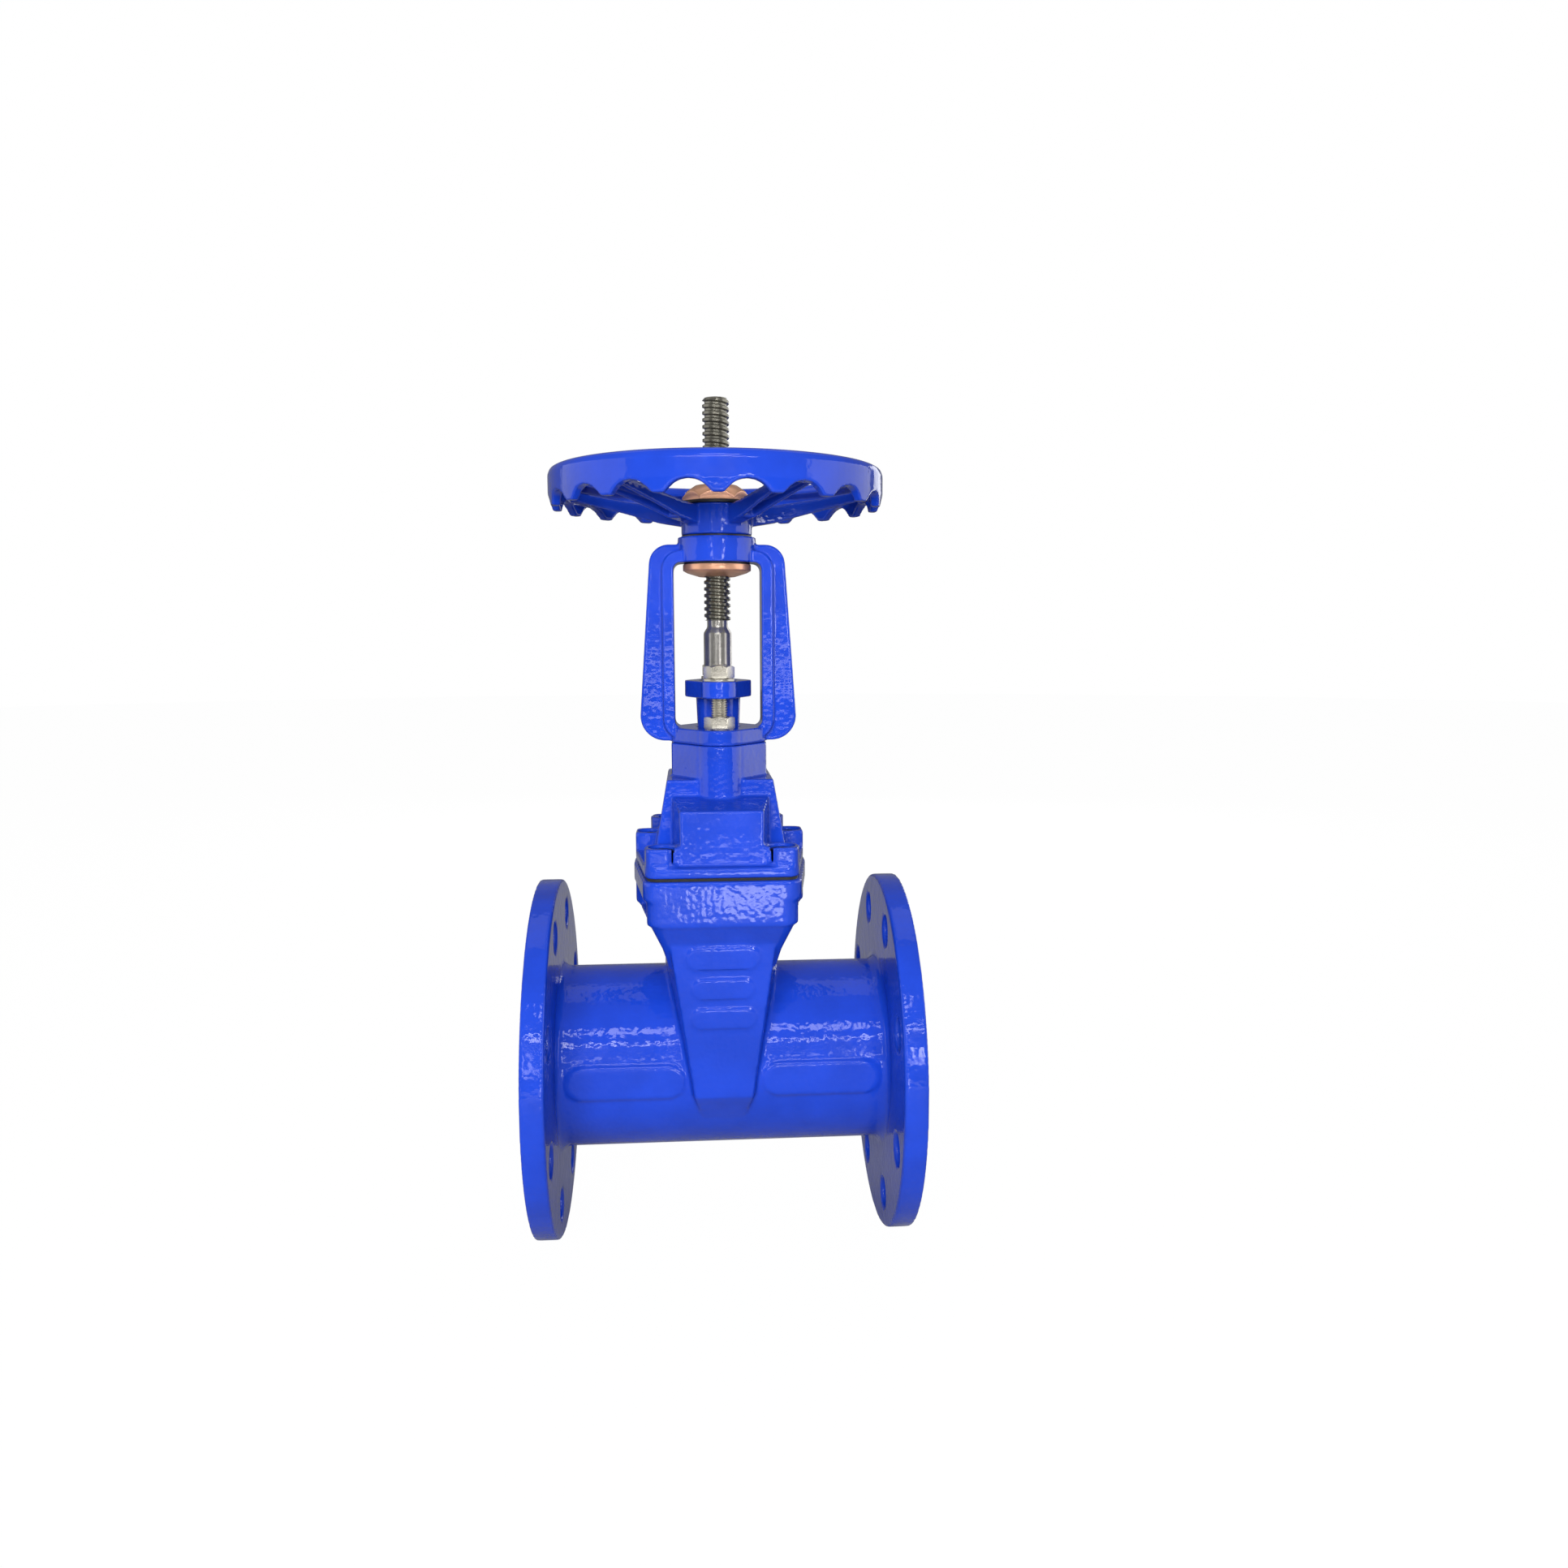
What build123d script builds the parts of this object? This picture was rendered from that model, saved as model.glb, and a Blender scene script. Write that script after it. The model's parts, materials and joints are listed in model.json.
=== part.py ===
"""Rising-stem flanged gate valve, DN 100, with an outside yoke and a handwheel.

Frame: X along the pipe, Z up along the stem, origin on the ground under the
stem axis, at the level of the lowest points of the two flanges. Millimetres.
The stem, the gate and the handwheel stand in a part-open position.
"""

from build123d import *
import os
from math import cos, radians, sin

os.makedirs("parts", exist_ok=True)

# ---------------------------------------------------------------- pipe ends
bore_d = 100.0  # clear waterway
face_to_face = 229.0  # over the raised faces
flange_od = 220.0
flange_rim_t = 13.7  # flange plate behind the raised face
raised_face_d = 156.0
raised_face_h = 2.0
bolt_circle_d = 180.0
bolt_count = 8
bolt_hole_d = 19.0
barrel_d = 111.0
barrel_fillet = 5.0
pipe_z = flange_od / 2  # height of the pipe axis
rim_x = face_to_face / 2 - raised_face_h  # outer face of a flange plate
flange_x = rim_x - flange_rim_t  # inner face of a flange plate

# ------------------------------------------- levels, measured from the ground
panel_foot_z = pipe_z - 8.0  # where the front panel turns back to the barrel
panel_end_z = pipe_z - 30.0
panel_top_z = pipe_z + 91.0
neck_low_z = pipe_z + 68.0  # the bowl under the body flange meets the neck
bowl_mid_z = pipe_z + 80.0
bowl_top_z = pipe_z + 97.0
pocket_top_z = pipe_z + 112.0
body_top_z = pipe_z + 123.4
gasket_t = 1.6
bonnet_foot_z = body_top_z + gasket_t
bonnet_plate_z = pipe_z + 131.0
lug_top_z = pipe_z + 142.0
roof_edge_z = pipe_z + 162.0
roof_z = pipe_z + 167.0
dome_top_z = pipe_z + 176.8
neck_top_z = pipe_z + 197.0
yoke_base_z = pipe_z + 206.2
window_top_z = pipe_z + 305.2
yoke_hub_top_z = pipe_z + 320.3
thrust_washer_t = 1.0
wheel_hub_z = yoke_hub_top_z + thrust_washer_t
wheel_hub_h = 18.3
wheel_washer_t = 1.8
wheel_nut_h = 9.6
wheel_hub_top_z = wheel_hub_z + wheel_hub_h
wheel_nut_z = wheel_hub_top_z + wheel_washer_t
stem_top_z = pipe_z + 402.3

# ----------------------------------------------------- body, bonnet and joint
neck_half_x = 35.5  # body neck at the middle
neck_foot_half_x = 33.0
neck_end_half_x = 16.0
panel_top_half_x = 31.5
panel_foot_half_x = 17.0
panel_end_half_x = 11.5
panel_top_y = 67.5
panel_foot_y = 62.0
panel_end_y = 46.0
pad_proud = 0.9  # height of the plain cast pads
panel_pads = ((85.0, 42.0, 13.0), (66.5, 35.0, 12.0), (48.5, 37.0, 12.0))  # up, length, width
barrel_pad_x = 58.0
barrel_pad_length = 70.0
barrel_pad_w = 20.0
barrel_pad_root = 4.0
cover_half_x = 44.5  # end of the cover flange
cover_half_y = 75.0
cover_corner_r = 9.0
cover_side_half_y = 7.0  # flat at each side of the cover flange
bowl_low_size = (31.0, 56.0, neck_half_x)  # end half x, half y, side half x
bowl_mid_size = (33.5, 64.0, 41.0)
bowl_top_size = (40.5, 74.0, 49.5)
bowl_corner_r = 6.0
column_half_x = 43.4
column_w = 28.0
waist_half_x = 38.5
side_half_x = 52.8
side_lug_r = 9.6
side_lug_x = 42.6
end_lug_x = 34.0
end_lug_y = 62.0
lug_r = 10.4
cover_inset = 1.2  # bonnet outline inside the body outline
end_lug_fill = (3.0, 2.0)  # squared outer side of an end lug
side_lug_shift = 1.0
side_lug_stretch = 6.0
dome_foot_half_x = 40.0
dome_top_half_x = 31.6
dome_sink = 2.0  # the dome starts this far inside the plate
dome_half_y = 34.0
roof_run = 4.0  # how far the roof edge stands back from the block foot
roof_cut = 2.0
block_half_y = 68.0
block_end_half_x = 23.5
block_root_half_x = 28.5
neck_low_in_dome_z = pipe_z + 150.0  # where the stud bosses start, inside the dome
hollow_half_x = 20.5
hollow_half_y = 58.0
hollow_top_z = pipe_z + 155.0
hollow_corner_r = 6.0
neck_front_half_x = 13.0
neck_front_y = 33.0
neck_side_half_x = 28.9
neck_side_half_y = 10.0
neck_corner_r = 3.0
neck_sink = 1.0
gasket_hole_half_x = 26.5
gasket_hole_half_y = 58.5
screw_d = 8.0  # M8 socket-head screws
screw_head_d = 13.0
screw_head_h = 8.0
screw_socket_af = 6.0
screw_socket_depth = 4.0
screw_grip = 24.0  # thread length in the body
screw_hole_spare = 2.0  # tapped hole below the screw end
screw_head_edge = 0.8
bolt_play = 0.5  # radial play of a bolt or stud in its clearance hole
counterbore_d = 15.4
counterbore_depth = 10.0
clearance = 0.05  # radial play of a close fit
loose = 0.35  # radial play where nothing touches

# --------------------------------------------------------------- gate chamber
wedge_slope = 0.085  # growth of half thickness with height
wedge_low_half_x = 10.65  # half thickness of the gate at its lowest point
gate_r = 51.2
gate_top = 50.0  # top of the gate above its centre
gate_shoulder = 20.0
gate_crown_half_y = 30.0
rubber_t = 2.5
chamber_gap = 0.35
chamber_over = 1.0  # how far cutting shapes reach past the faces they cut
guide_half_x = 6.0
guide_side_play = 0.4
guide_foot_play = 2.0
guide_end_play = 0.5
guide_root = 6.0  # how far the guides reach into the gate
guide_rib_end = 1.6  # guide cover thickness over the iron rib
guide_rib_inset = 2.0
guide_y = 55.5
guide_low = -5.0
guide_high = 28.0
gate_lift = 60.0  # how far the gate stands above its closed place
gate_z = pipe_z + gate_lift
gate_nut_top_z = gate_z + gate_top + 2.0
nut_head_z = gate_z + 24.0  # foot of the tee-shaped gate nut and of the shank
nut_head_h = 13.0
nut_head_half_y = 17.0
nut_neck_half_y = 12.0
gate_nut_half_x = 11.0
pin_z = gate_z + 44.0
pin_d = 5.0

# ----------------------------------------------------------------------- stem
stem_d = 17.0
thread_d = 16.0
thread_pitch = 4.0
thread_depth = 1.4
thread_crest = 0.42  # parts of the pitch: crest, then where the root starts and ends
thread_root_from = 0.55
thread_root_to = 0.87
stem_edge = 1.5
relief_end = 1.0
shank_d = 14.0
shoulder_z = pipe_z + 263.0
relief_z = pipe_z + 266.5
thread_start_z = pipe_z + 272.0
relief_d = 12.6

# --------------------------------------------------------- stuffing box, yoke
stud_y = 27.0
stud_d = 10.0
stud_boss_r = 13.9
stud_root_z = neck_top_z - 18.0
hex_af = 16.0
hex_h = 7.5
hex_edge = (1.6, 0.9)  # width and height of the corner chamfer of a nut
stuffing_r = 13.0
stuffing_floor_z = pipe_z + 168.0
packing_seat_h = 4.2
packing_rings_n = 4
packing_ring_h = 5.2
packing_ring_gap = 0.05
packing_top_z = stuffing_floor_z + packing_seat_h + packing_rings_n * packing_ring_h
wiper_r = 11.5
wiper_h = 3.0
gland_flange_low_z = pipe_z + 224.6
gland_flange_top_z = pipe_z + 234.6
gland_r = 20.3
gland_ear_r = 10.7
gland_cheek_x = 18.8  # straight flanks between the middle and the ears
gland_cheek_y = 8.0
gland_ear_cheek_x = 10.2
gland_ear_cheek_y = stud_y + 2.5
gland_sleeve_play = 0.1
gland_collar_r = 13.6
gland_collar_z = yoke_base_z + 2.0
gland_root = 1.0
gland_washer_t = 1.6
gland_washer_r = 10.0
stud_out = 1.0  # stud end above the gland nut
stud_edge = 0.9
stud_top_z = gland_flange_top_z + gland_washer_t + hex_h + stud_out
window_half_x = 26.4
window_corner_r = 4.5
yoke_base_inset = 0.5  # yoke base inside the bonnet neck outline
arm_rim_w = 6.8
arm_rim_half_y = 12.5
arm_web_half_y = 7.0
yoke_hub_r = 23.6
yoke_top_z = pipe_z + 316.0
arm_foot_z = pipe_z + 198.0
arm_low_corner_r = 15.0
arm_high_corner_r = 12.0
arm_low_half_x = 48.6
arm_high_half_x = 40.2

# ------------------------------------------------------------------ handwheel
wheel_d = 200.0
outer_r = wheel_d / 2
wheel_rim_low_z = pipe_z + 336.6
wheel_rim_top_z = pipe_z + 359.6
wheel_rim_wall = 6.0
rim_taper = 1.2  # the rim draws in towards its lower edge
rim_taper_h = 8.0
rim_edge = 1.8
rim_shoulder = ((3.6, 0.0), (1.2, 1.2), (0.0, 4.2))  # rounded outer top edge
wheel_lip_w = 15.0
wheel_lip_t = 5.6
wheel_lobes = 19
lobe_turn = -90.7  # angle of one lobe about the stem
notch_points = (
    (-14.6, -2.0),
    (-11.6, 1.4),
    (-7.0, 5.4),
    (0.0, 7.2),
    (7.0, 5.4),
    (11.6, 1.4),
    (14.6, -2.0),
)
wheel_spokes = 5
spoke_turn = 83.0  # angle of one spoke about the stem
spoke_hub_half_w = 4.2
spoke_rim_half_w = 9.5
spoke_wall = 2.4
wheel_hub_r = 21.3
nut_sleeve_r = 14.0
wheel_seat_r = 13.0
nut_thread_r = 12.0
nut_flange_r = 20.6
nut_flange_low_z = pipe_z + 297.0
nut_flange_top_z = window_top_z - thrust_washer_t
nut_lip_r = 11.0
nut_flange_bevel_r = 18.1
nut_flange_bevel_h = 2.2
nut_flange_edge_h = 3.6
nut_end_below = 0.8  # sleeve end below the top of the wheel nut
washer_play = 0.1
nut_bore_play = 0.06
nut_relief_top_z = nut_flange_low_z + 13.0
wheel_washer_r = 22.4
lower_washer_r = 20.0
wheel_nut_af = 36.0
wheel_nut_corner_r = 20.8
nut_dome_foot = 2.0
nut_dome_r = 17.6
nut_dome_h = 6.4
nut_crown_r = 12.9
spoke_root_r = wheel_seat_r + 4.0
spoke_end_r = outer_r - wheel_rim_wall + 1.0
spoke_points = (
    (spoke_root_r, pipe_z + 326.5),
    (37.0, pipe_z + 330.0),
    (60.0, pipe_z + 336.5),
    (spoke_end_r, pipe_z + 345.5),
    (spoke_end_r, pipe_z + 351.0),
    (60.0, pipe_z + 344.0),
    (36.0, pipe_z + 340.0),
    (spoke_root_r, pipe_z + 337.8),
)
channel_points = (
    (37.0, pipe_z + 327.0),
    (60.0, pipe_z + 333.5),
    (88.0, pipe_z + 341.0),
    (88.0, pipe_z + 346.8),
    (60.0, pipe_z + 341.2),
    (37.0, pipe_z + 337.2),
)
key_w = 4.0
key_h = 14.0
key_z = wheel_hub_z + 2.0


def yz_plane(x):
    """Plane facing +X, with local x along +Y and local y along +Z."""
    return Plane(origin=(x, 0, 0), x_dir=(0, 1, 0), z_dir=(1, 0, 0))


def xz_plane(y):
    """Plane facing -Y, with local x along +X and local y along +Z."""
    return Plane(origin=(0, y, 0), x_dir=(1, 0, 0), z_dir=(0, -1, 0))


def half_thickness(height_above_centre):
    """Half thickness of the wedge gate at a height above its centre."""
    return wedge_low_half_x + wedge_slope * (height_above_centre + gate_r)


def screw_places():
    """The six cover screws: two at each end and one at each side."""
    ends = [(sx * end_lug_x, sy * end_lug_y) for sx in (-1, 1) for sy in (-1, 1)]
    sides = [(sx * side_lug_x, 0) for sx in (-1, 1)]
    return ends + sides


def cover_outline(z, half_x, half_y, side_x, corner_r):
    """Long eight-cornered outline with round corners, as a sketch at height z."""
    with BuildSketch(Plane.XY.offset(z)) as outline:
        Polygon(
            (-half_x, -half_y),
            (half_x, -half_y),
            (side_x, -cover_side_half_y),
            (side_x, cover_side_half_y),
            (half_x, half_y),
            (-half_x, half_y),
            (-side_x, cover_side_half_y),
            (-side_x, -cover_side_half_y),
        )
        fillet(outline.vertices(), corner_r)
    return outline.sketch


def neck_outline(z, inset):
    """Eight-sided plan of the bonnet neck and the yoke base, at height z."""
    with BuildSketch(Plane.XY.offset(z)) as plan:
        Polygon(
            (-neck_front_half_x, -neck_front_y),
            (neck_front_half_x, -neck_front_y),
            (neck_side_half_x, -neck_side_half_y),
            (neck_side_half_x, neck_side_half_y),
            (neck_front_half_x, neck_front_y),
            (-neck_front_half_x, neck_front_y),
            (-neck_side_half_x, neck_side_half_y),
            (-neck_side_half_x, -neck_side_half_y),
        )
        fillet(plan.vertices(), neck_corner_r)
        with Locations((0, -stud_y), (0, stud_y)):
            Circle(stud_boss_r)
        if inset > 0:
            offset(amount=-inset, mode=Mode.REPLACE)
    return plan.sketch


# ============================================================ valve body
with BuildPart() as gate_space:
    # the wedge chamber: a round-bottomed slot that tapers across the flow
    with BuildSketch(yz_plane(0)):
        with Locations((0, pipe_z)):
            Circle(gate_r + chamber_gap)
        with Locations((0, pipe_z)):
            Rectangle(
                2 * (gate_r + chamber_gap),
                body_top_z - pipe_z + chamber_over,
                align=(Align.CENTER, Align.MIN),
            )
    extrude(amount=neck_half_x, both=True)
    with BuildSketch(xz_plane(0)):
        low = half_thickness(-gate_r) + chamber_gap
        high = low + wedge_slope * (gate_r + body_top_z - pipe_z + chamber_over)
        with BuildLine():
            Polyline(
                (-low, pipe_z - gate_r - chamber_gap),
                (low, pipe_z - gate_r - chamber_gap),
                (high, body_top_z + chamber_over),
                (-high, body_top_z + chamber_over),
                close=True,
            )
        make_face()
    extrude(amount=gate_r + chamber_over, both=True, mode=Mode.INTERSECT)
    slot_low_z = pipe_z + guide_low - guide_foot_play
    with BuildSketch(Plane.XY.offset(slot_low_z)):
        Rectangle(2 * (guide_half_x + guide_side_play), 2 * (guide_y + guide_end_play))
    extrude(amount=body_top_z + chamber_over - slot_low_z)


def panel_plane(end):
    """Plane on a sloping end panel, with its origin at the panel's foot."""
    foot = Vector(0, end * panel_foot_y, panel_foot_z)
    up = Vector(0, end * panel_top_y, panel_top_z) - foot
    side = Vector(-end, 0, 0)
    return Plane(origin=foot, x_dir=side, z_dir=side.cross(up))


with BuildPart() as body:
    # barrel and flanges
    with BuildSketch(yz_plane(0)):
        with Locations((0, pipe_z)):
            Circle(barrel_d / 2)
    extrude(amount=flange_x + 1, both=True)
    for side in (-1, 1):
        face = Plane(origin=(side * flange_x, 0, pipe_z), x_dir=(0, 1, 0), z_dir=(side, 0, 0))
        with BuildSketch(face):
            Circle(flange_od / 2)
        extrude(amount=flange_rim_t)
        with BuildSketch(face.offset(flange_rim_t)):
            Circle(raised_face_d / 2)
        extrude(amount=raised_face_h)
    flange_roots = [
        edge
        for edge in body.edges().filter_by(GeomType.CIRCLE)
        if abs(edge.radius - barrel_d / 2) < 0.01 and abs(abs(edge.center().X) - flange_x) < 0.01
    ]
    fillet(flange_roots, barrel_fillet)

    # neck that holds the gate chamber, with a flat panel at each end
    for z, end_half_x, end_y, middle_half_x in (
        (panel_end_z, panel_end_half_x, panel_end_y, neck_end_half_x),
        (panel_foot_z, panel_foot_half_x, panel_foot_y, neck_foot_half_x),
        (panel_top_z, panel_top_half_x, panel_top_y, neck_half_x),
    ):
        with BuildSketch(Plane.XY.offset(z)):
            Polygon(
                (-end_half_x, -end_y),
                (end_half_x, -end_y),
                (middle_half_x, 0),
                (end_half_x, end_y),
                (-end_half_x, end_y),
                (-middle_half_x, 0),
            )
    loft(ruled=True)

    # bowl that widens from the neck to the cover flange
    add(cover_outline(neck_low_z, *bowl_low_size, bowl_corner_r))
    add(cover_outline(bowl_mid_z, *bowl_mid_size, bowl_corner_r))
    add(cover_outline(bowl_top_z, *bowl_top_size, cover_corner_r))
    loft(ruled=True)

    # waist with a column for each pair of end screws and for each side screw
    with BuildSketch(Plane.XY.offset(bowl_top_z)):
        for end in (-1, 1):
            with Locations((0, end * (cover_half_y - column_w / 2))):
                RectangleRounded(2 * column_half_x, column_w, cover_corner_r)
        Rectangle(2 * waist_half_x, 2 * (cover_half_y - column_w / 2))
        with Locations((-side_lug_x, 0), (side_lug_x, 0)):
            Circle(side_lug_r)
    extrude(amount=pocket_top_z - bowl_top_z)

    # cover flange
    add(cover_outline(pocket_top_z, cover_half_x, cover_half_y, side_half_x, cover_corner_r))
    extrude(amount=body_top_z - pocket_top_z)

    # plain raised pads: three on each end panel, one on each barrel quarter
    for end in (-1, 1):
        with BuildSketch(panel_plane(end)):
            for up, length, width in panel_pads:
                with Locations((0, up)):
                    SlotOverall(length, width)
        extrude(amount=pad_proud, both=True)
        with BuildSketch(xz_plane(end * (barrel_d / 2 + pad_proud))):
            with Locations((-barrel_pad_x, pipe_z), (barrel_pad_x, pipe_z)):
                SlotOverall(barrel_pad_length, barrel_pad_w)
        extrude(amount=end * barrel_pad_root)

    # waterway, gate chamber, bolt holes and tapped holes
    with BuildSketch(yz_plane(0)):
        with Locations((0, pipe_z)):
            Circle(bore_d / 2)
    extrude(amount=face_to_face, both=True, mode=Mode.SUBTRACT)
    add(gate_space.part, mode=Mode.SUBTRACT)
    with BuildSketch(yz_plane(0)):
        with Locations((0, pipe_z)):
            with PolarLocations(bolt_circle_d / 2, bolt_count, start_angle=180 / bolt_count):
                Circle(bolt_hole_d / 2)
    extrude(amount=face_to_face, both=True, mode=Mode.SUBTRACT)
    with BuildSketch(Plane.XY.offset(body_top_z)):
        with Locations(*screw_places()):
            Circle(screw_d / 2 + clearance)
    extrude(amount=-screw_grip - screw_hole_spare, mode=Mode.SUBTRACT)

body.part.label = "body"
export_step(body.part, "parts/body.step")


# ============================================================ bonnet
def lug_outline(z):
    """Plan of the six screw lugs on the bonnet, at height z."""
    with BuildSketch(Plane.XY.offset(z)) as lugs:
        for sx in (-1, 1):
            for sy in (-1, 1):
                with Locations((sx * end_lug_x, sy * end_lug_y)):
                    Circle(lug_r)
                fill_x, fill_y = end_lug_fill
                with Locations((sx * (end_lug_x + fill_x), sy * (end_lug_y + fill_y))):
                    Rectangle(2 * (lug_r - 2 * fill_y), 2 * (lug_r - fill_y))
            with Locations((sx * (side_lug_x - side_lug_shift), 0)):
                SlotOverall(2 * lug_r + side_lug_stretch, 2 * lug_r)
        add(
            cover_outline(
                0,
                cover_half_x - cover_inset,
                cover_half_y - cover_inset,
                side_half_x - cover_inset,
                cover_corner_r - cover_inset,
            ),
            mode=Mode.INTERSECT,
        )
    return lugs.sketch


with BuildPart() as bonnet:
    # plate that covers the body flange, with a raised lug for each screw
    add(
        cover_outline(
            bonnet_foot_z,
            cover_half_x - cover_inset,
            cover_half_y - cover_inset,
            side_half_x - cover_inset,
            cover_corner_r - cover_inset,
        )
    )
    extrude(amount=bonnet_plate_z - bonnet_foot_z)
    add(lug_outline(bonnet_plate_z))
    extrude(amount=lug_top_z - bonnet_plate_z)

    # dome: a trapezoid across the pipe and a longer block with a sloping roof
    with BuildSketch(xz_plane(0)):
        Polygon(
            (-dome_foot_half_x, bonnet_plate_z - dome_sink),
            (dome_foot_half_x, bonnet_plate_z - dome_sink),
            (dome_top_half_x, dome_top_z),
            (-dome_top_half_x, dome_top_z),
            align=None,
        )
    extrude(amount=dome_half_y, both=True)
    with BuildSketch(Plane.XY.offset(bonnet_plate_z - dome_sink)):
        Polygon(
            (-block_end_half_x, -block_half_y),
            (block_end_half_x, -block_half_y),
            (block_root_half_x, -dome_half_y),
            (block_root_half_x, dome_half_y),
            (block_end_half_x, block_half_y),
            (-block_end_half_x, block_half_y),
            (-block_root_half_x, dome_half_y),
            (-block_root_half_x, -dome_half_y),
        )
    extrude(amount=roof_z - bonnet_plate_z + dome_sink)
    with BuildSketch(yz_plane(0)):
        for end in (-1, 1):
            Polygon(
                (end * block_half_y, bonnet_plate_z + roof_cut),
                (end * (block_half_y - roof_run), roof_edge_z),
                (end * dome_half_y, roof_z),
                (end * dome_half_y, roof_z + roof_cut),
                (end * (block_half_y + roof_cut), roof_z + roof_cut),
                (end * (block_half_y + roof_cut), bonnet_plate_z + roof_cut),
                align=None,
            )
    extrude(amount=block_root_half_x + roof_cut, both=True, mode=Mode.SUBTRACT)

    # neck with the stuffing box and a boss for each gland stud
    with BuildSketch(Plane.XY.offset(neck_low_in_dome_z)):
        with Locations((0, -stud_y), (0, stud_y)):
            Circle(stud_boss_r)
    extrude(amount=dome_top_z - neck_low_in_dome_z)
    add(neck_outline(dome_top_z - neck_sink, 0.0))
    extrude(amount=neck_top_z - dome_top_z + neck_sink)

    # hollow for the raised gate, stuffing box, stud and screw holes
    with BuildSketch(Plane.XY.offset(bonnet_foot_z)):
        RectangleRounded(2 * hollow_half_x, 2 * hollow_half_y, hollow_corner_r)
    extrude(amount=hollow_top_z - bonnet_foot_z, mode=Mode.SUBTRACT)
    with BuildSketch(Plane.XY.offset(bonnet_foot_z)):
        Circle(stem_d / 2 + loose)
    extrude(amount=neck_top_z - bonnet_foot_z, mode=Mode.SUBTRACT)
    with BuildSketch(Plane.XY.offset(neck_top_z)):
        Circle(stuffing_r)
    extrude(amount=stuffing_floor_z - neck_top_z, mode=Mode.SUBTRACT)
    with BuildSketch(Plane.XY.offset(neck_top_z)):
        with Locations((0, -stud_y), (0, stud_y)):
            Circle(stud_d / 2 + clearance)
    extrude(amount=stud_root_z - neck_top_z, mode=Mode.SUBTRACT)
    with Locations(*[(x, y, lug_top_z) for x, y in screw_places()]):
        CounterBoreHole(screw_d / 2 + bolt_play, counterbore_d / 2, counterbore_depth)

bonnet.part.label = "bonnet"
export_step(bonnet.part, "parts/bonnet.step")


# ---------------------------------------------------------- bonnet gasket
with BuildPart() as bonnet_gasket:
    add(
        cover_outline(
            body_top_z,
            cover_half_x - 2 * cover_inset,
            cover_half_y - 2 * cover_inset,
            side_half_x - 2 * cover_inset,
            cover_corner_r - 2 * cover_inset,
        )
    )
    extrude(amount=gasket_t)
    with BuildSketch(Plane.XY.offset(body_top_z)):
        RectangleRounded(2 * gasket_hole_half_x, 2 * gasket_hole_half_y, hollow_corner_r)
        with Locations(*screw_places()):
            Circle(screw_d / 2 + bolt_play)
    extrude(amount=gasket_t, mode=Mode.SUBTRACT)

bonnet_gasket.part.label = "bonnet_gasket"
export_step(bonnet_gasket.part, "parts/bonnet_gasket.step")


# ---------------------------------------------------------- bonnet screws
screw_seat_z = lug_top_z - counterbore_depth
with BuildPart() as bonnet_screws:
    with BuildSketch(Plane.XY.offset(screw_seat_z)):
        with Locations(*screw_places()):
            Circle(screw_head_d / 2)
    extrude(amount=screw_head_h)
    chamfer(bonnet_screws.faces().filter_by(Axis.Z).group_by(Axis.Z)[-1].edges(), screw_head_edge)
    with BuildSketch(Plane.XY.offset(screw_seat_z)):
        with Locations(*screw_places()):
            Circle(screw_d / 2)
    extrude(amount=body_top_z - screw_grip - screw_seat_z)
    with BuildSketch(Plane.XY.offset(screw_seat_z + screw_head_h)):
        with Locations(*screw_places()):
            RegularPolygon(screw_socket_af / 2, 6, major_radius=False)
    extrude(amount=-screw_socket_depth, mode=Mode.SUBTRACT)

bonnet_screws.part.label = "bonnet_screws"
export_step(bonnet_screws.part, "parts/bonnet_screws.step")


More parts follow.
